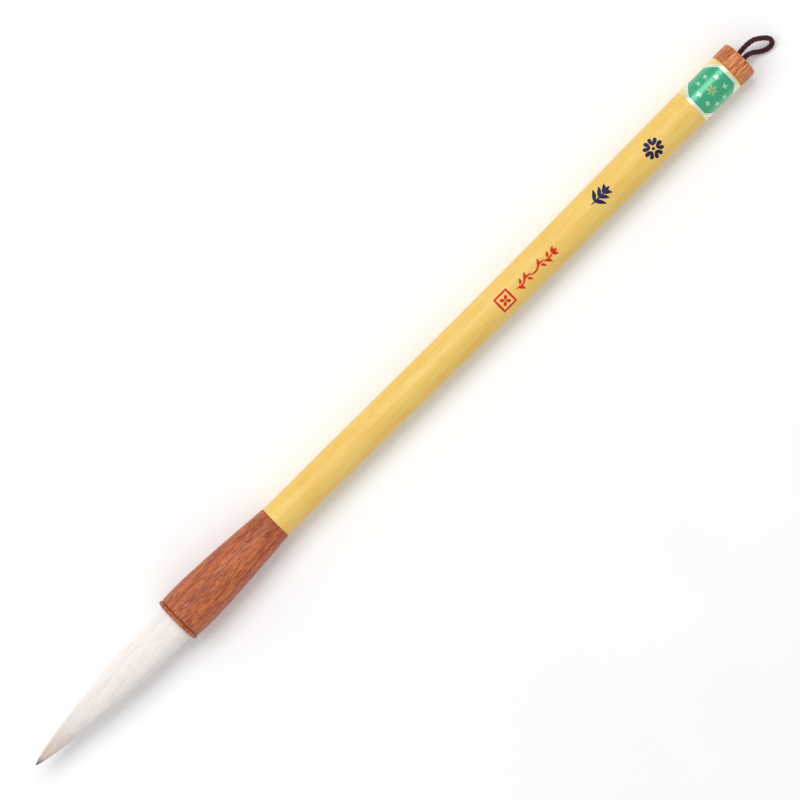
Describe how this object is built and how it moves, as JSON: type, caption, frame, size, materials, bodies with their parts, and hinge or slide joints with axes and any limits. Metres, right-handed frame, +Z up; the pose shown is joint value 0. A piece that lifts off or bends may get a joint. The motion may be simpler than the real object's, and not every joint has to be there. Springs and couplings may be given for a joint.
{
  "type": "calligraphy brush",
  "caption": "Large calligraphy brush: pointed white hair tuft in a turned wooden ferrule, bamboo shaft, wooden end cap and a cord loop to hang it by.",
  "frame": {"origin": "middle of the underside of the brush's box, without the cord, where it lies on a table on its ferrule and end cap", "axes": "+X along the brush from the hair tip to the end cap (its axis dips 0.38 degrees towards the cap, because the ferrule is thicker than the cap), +Z up"},
  "size_m": [0.3162, 0.0156, 0.0156],
  "materials": {
    "white_hair": "fine straight white goat hair with a faint silky sheen",
    "core_hair": "straight cream goat hair, translucent beige towards the point",
    "binding_thread": "twisted linen thread",
    "resin": "dark burnt resin",
    "glue": "amber adhesive",
    "ferrule_wood": "turned reddish-brown hardwood, open pores along the grain, satin",
    "bamboo": "honey-yellow bamboo skin with faint fibres, satin, with small navy and red printed ornaments",
    "foil": "metallic foil paper, gold with a green field",
    "cap_wood": "turned orange-brown hardwood, satin",
    "cord": "twisted dark maroon cord",
    "knot": "twisted dark maroon cord, drawn tight"
  },
  "bodies": {
    "handle": {"ferrule": "ferrule_wood", "bamboo_shaft": "bamboo", "foil_label": "foil", "end_cap": "cap_wood", "root_binding": "binding_thread", "root_seal": "resin", "tuft_glue": "glue", "cord_knot": "knot"},
    "tuft": {"cover_hair": "white_hair", "core_hair": "core_hair"},
    "loop": {"hanging_loop": "cord"}
  },
  "joints": [
    {"name": "tuft_bend", "type": "hinge", "parent": "handle", "child": "tuft", "pos_m": [-0.10276, 0, 0.0079], "axis": [0, 0, 1], "range_deg": [-40, 40], "stiffness_Nm_per_rad": 0.008, "deforming": ["cover_hair", "core_hair"]},
    {"name": "loop_lift", "type": "hinge", "parent": "handle", "child": "loop", "pos_m": [0.15213, 0, 0.00622], "axis": [0, -1, 0], "range_deg": [0, 110], "deforming": ["hanging_loop"]}
  ]
}
